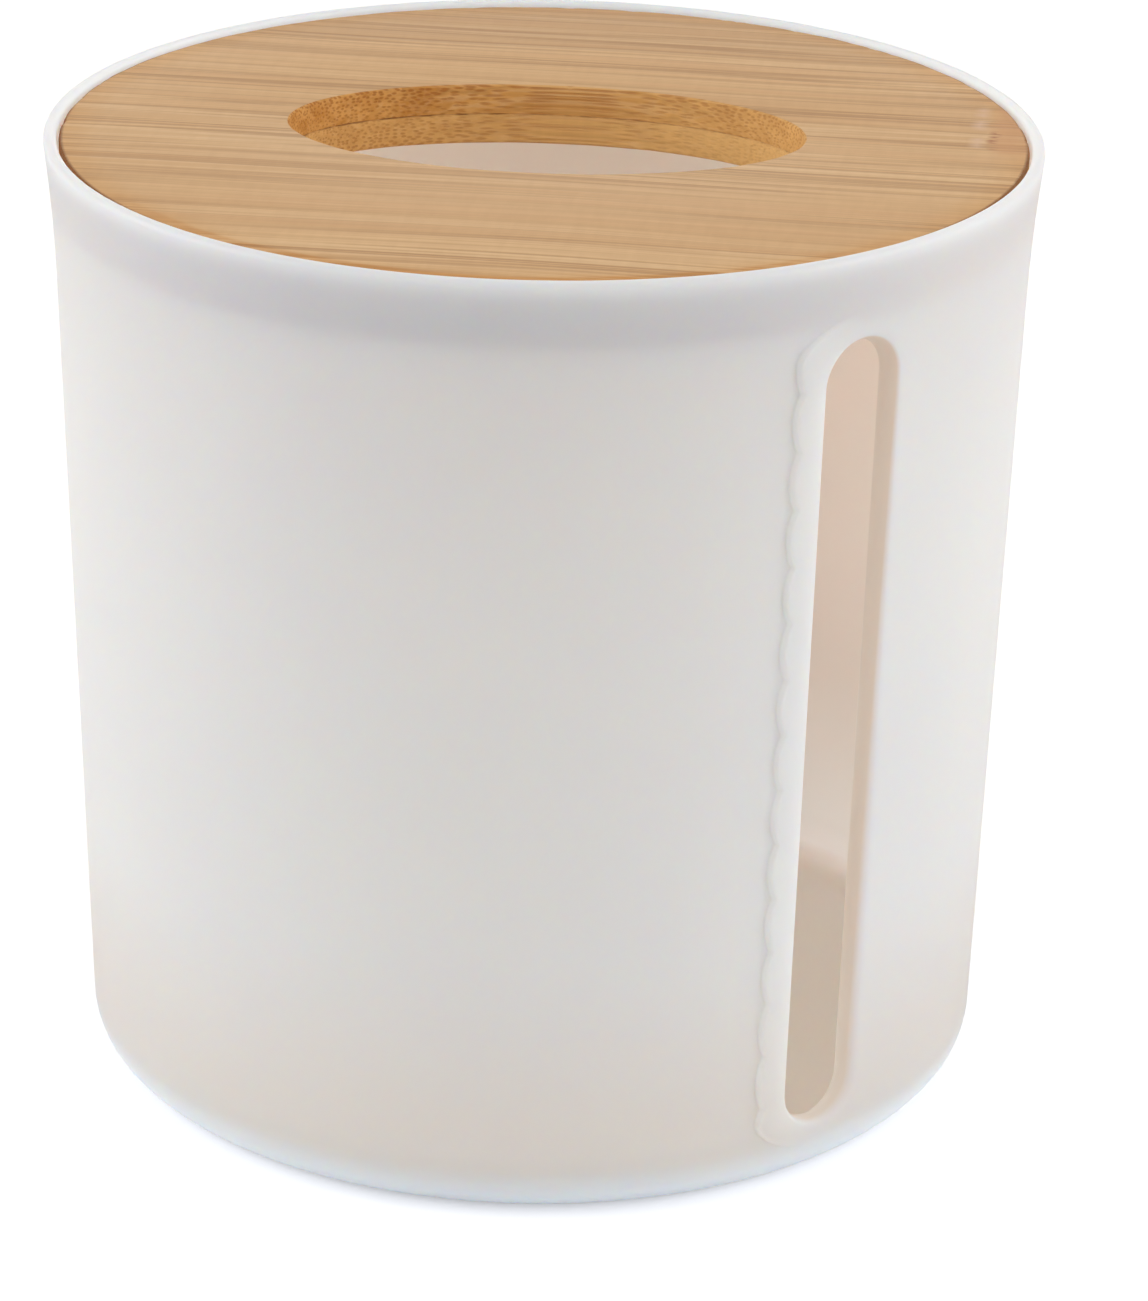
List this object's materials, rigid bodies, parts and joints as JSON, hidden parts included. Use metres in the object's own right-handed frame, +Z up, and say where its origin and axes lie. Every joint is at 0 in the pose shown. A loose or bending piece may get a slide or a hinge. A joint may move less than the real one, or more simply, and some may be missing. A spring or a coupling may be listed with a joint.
{
  "type": "toilet paper storage canister",
  "caption": "Round white moulded cup with an upright dispensing slot beside a scalloped tear lip, and a lift-off bamboo lid with an oval finger opening.",
  "frame": {"origin": "centre of the cup's foot, on the surface it stands on", "axes": "+Z up along the cup's axis, -Y out through the middle of the dispensing slot, +X to the right of the slot seen from outside"},
  "size_m": [0.13, 0.13, 0.128],
  "materials": {
    "white_plastic": "satin moulded",
    "bamboo": "fine straight grain, lightly oiled"
  },
  "bodies": {
    "canister": {"canister_body": "white_plastic"},
    "lid": {"lid_top_ply": "bamboo", "lid_bottom_ply": "bamboo"}
  },
  "joints": [
    {"name": "lid_lift", "type": "slide", "parent": "canister", "child": "lid", "axis": [0, 0, 1], "range_m": [0, 0.1]}
  ]
}
